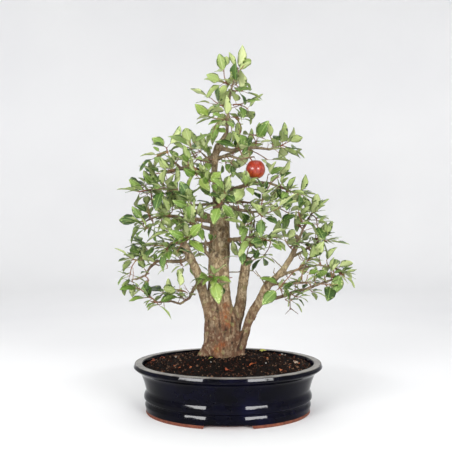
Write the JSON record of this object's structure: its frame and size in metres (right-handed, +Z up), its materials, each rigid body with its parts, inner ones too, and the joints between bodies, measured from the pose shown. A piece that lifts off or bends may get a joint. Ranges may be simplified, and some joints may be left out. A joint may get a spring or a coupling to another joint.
{
  "type": "crabapple bonsai",
  "caption": "Crabapple bonsai tree of clump form, with leafy sprays and a ripe fruit, growing in soil in an oval glazed pot with a lip and a foot ring.",
  "frame": {"origin": "centre of the whole tree's bounding box, on the surface that the pot stands on", "axes": "+Z up along the tree, +X along the pot's long axis, +Y away from the front of the tree"},
  "size_m": [0.4486, 0.2844, 0.6764],
  "materials": {
    "pot_glaze": "gloss",
    "potting_soil": "matt",
    "screen_plastic": "matt",
    "bark": "matt",
    "fruit_skin": "satin",
    "leaf_mature": "satin",
    "leaf_pale": "matt",
    "leaf_young": "satin"
  },
  "bodies": {
    "root": {"pot": "pot_glaze", "soil": "potting_soil", "drain_screen_left": "screen_plastic", "drain_screen_right": "screen_plastic", "trunk": "bark", "fruit": "fruit_skin", "spray_crown_tip": "leaf_young", "spray_crown_left": "leaf_pale", "spray_crown_right": "leaf_mature", "spray_crown_back": "leaf_mature", "spray_upper_left": "leaf_mature", "spray_upper_right": "leaf_mature", "spray_upper_left_low": "leaf_young", "spray_upper_right_low": "leaf_mature", "spray_upper_back": "leaf_mature", "spray_upper_front": "leaf_mature", "spray_high_left_pale": "leaf_pale", "spray_high_left_outer": "leaf_mature", "spray_high_left_dark": "leaf_mature", "spray_high_left_narrow": "leaf_young", "spray_high_centre": "leaf_young", "spray_high_centre_right": "leaf_mature", "spray_high_right": "leaf_mature", "spray_high_right_mid": "leaf_mature", "spray_high_right_outer": "leaf_mature", "spray_high_back_left": "leaf_mature", "spray_high_back_right": "leaf_mature", "spray_mid_left_outer": "leaf_mature", "spray_mid_left_upper": "leaf_mature", "spray_mid_left_centre": "leaf_mature", "spray_mid_left_inner": "leaf_mature", "spray_mid_left_front": "leaf_young", "spray_mid_left_low": "leaf_mature", "spray_mid_left_bright": "leaf_pale", "spray_mid_left_deep": "leaf_mature", "spray_mid_centre": "leaf_mature", "spray_mid_right_inner": "leaf_pale", "spray_mid_right_upper": "leaf_mature", "spray_mid_right_outer": "leaf_mature", "spray_mid_right_front": "leaf_mature", "spray_mid_right_centre": "leaf_mature", "spray_mid_right_far": "leaf_mature", "spray_mid_right_hanging": "leaf_pale", "spray_mid_back_left": "leaf_mature", "spray_mid_back_centre": "leaf_mature", "spray_mid_back_right": "leaf_mature", "spray_low_left_upper": "leaf_mature", "spray_low_left_outer": "leaf_mature", "spray_low_left_inner": "leaf_mature", "spray_low_left_tip": "leaf_young", "spray_low_left_bough": "leaf_mature", "spray_low_front": "leaf_young", "spray_trunk_front": "leaf_young", "spray_low_right_inner": "leaf_mature", "spray_low_right_upper": "leaf_mature", "spray_low_right_outer": "leaf_mature", "spray_low_right_front": "leaf_mature", "spray_low_right_tip": "leaf_mature", "spray_low_back_left": "leaf_mature", "spray_low_back_right": "leaf_mature"}
  },
  "joints": []
}
